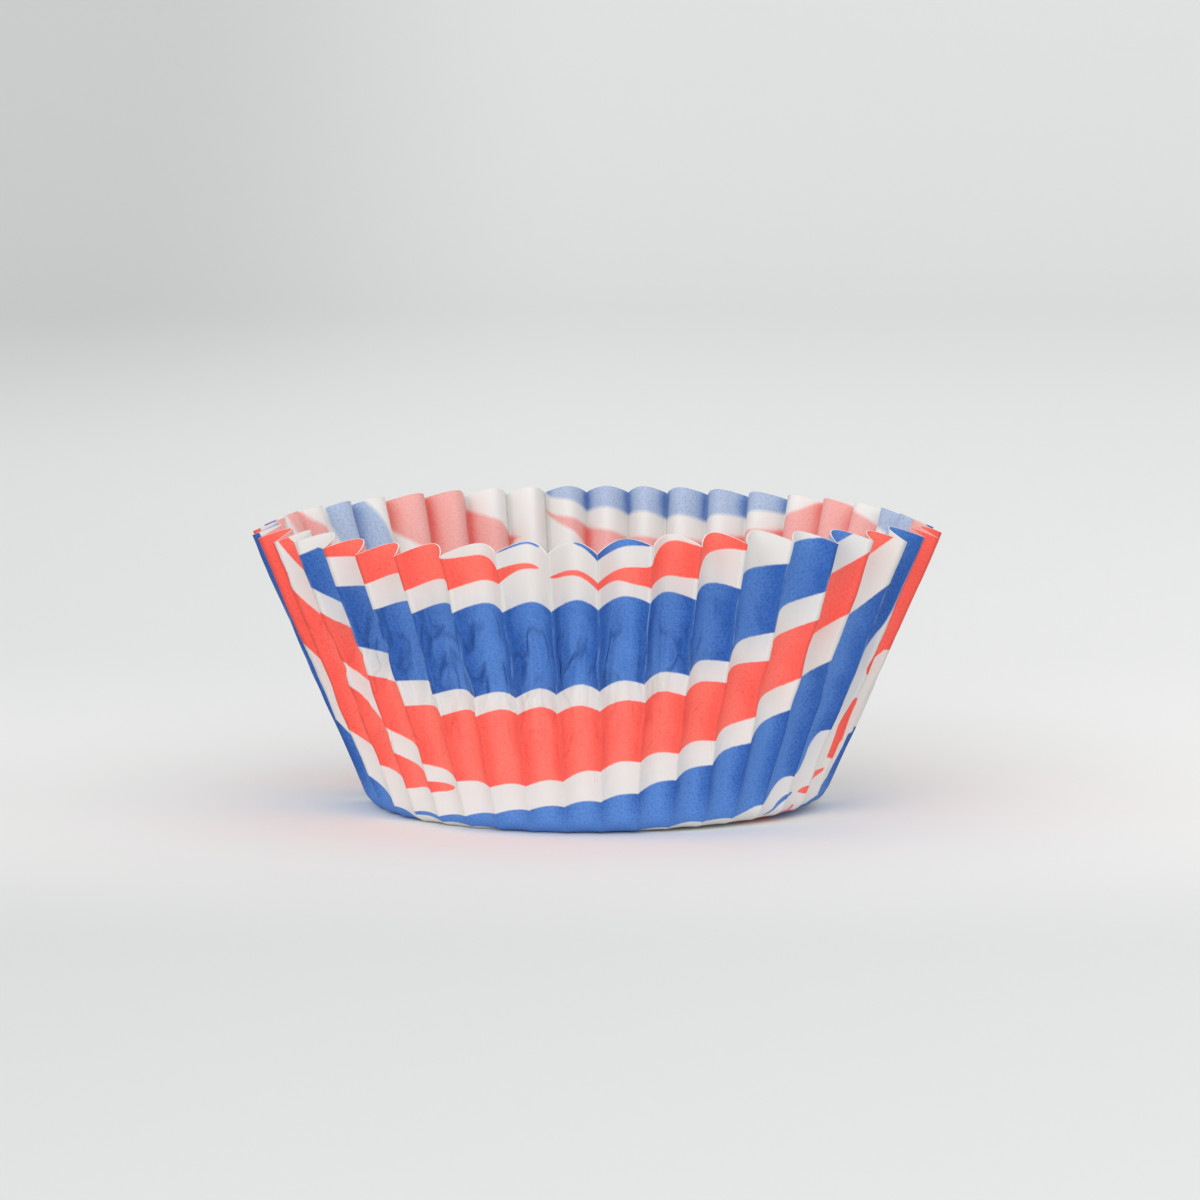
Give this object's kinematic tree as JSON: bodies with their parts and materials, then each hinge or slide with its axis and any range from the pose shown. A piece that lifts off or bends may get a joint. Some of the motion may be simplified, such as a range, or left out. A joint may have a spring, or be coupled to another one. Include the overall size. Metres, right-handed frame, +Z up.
{
  "type": "cupcake liner",
  "caption": "Fluted paper baking cup: a flat round base and a flared, pleated wall, striped on the outside, open at the top.",
  "frame": {"origin": "middle of the base's underside, on the surface that the cup stands on", "axes": "+Z up through the open rim, +X along the rim's longer width, -Y towards the front, where one ridge faces"},
  "size_m": [0.0756, 0.0704, 0.0319],
  "materials": {
    "printed_paper": "matte greaseproof paper, white, with red and blue stripes printed on the outside that show faintly through to the inside"
  },
  "bodies": {
    "root": {"baking_cup": "printed_paper"}
  },
  "joints": []
}
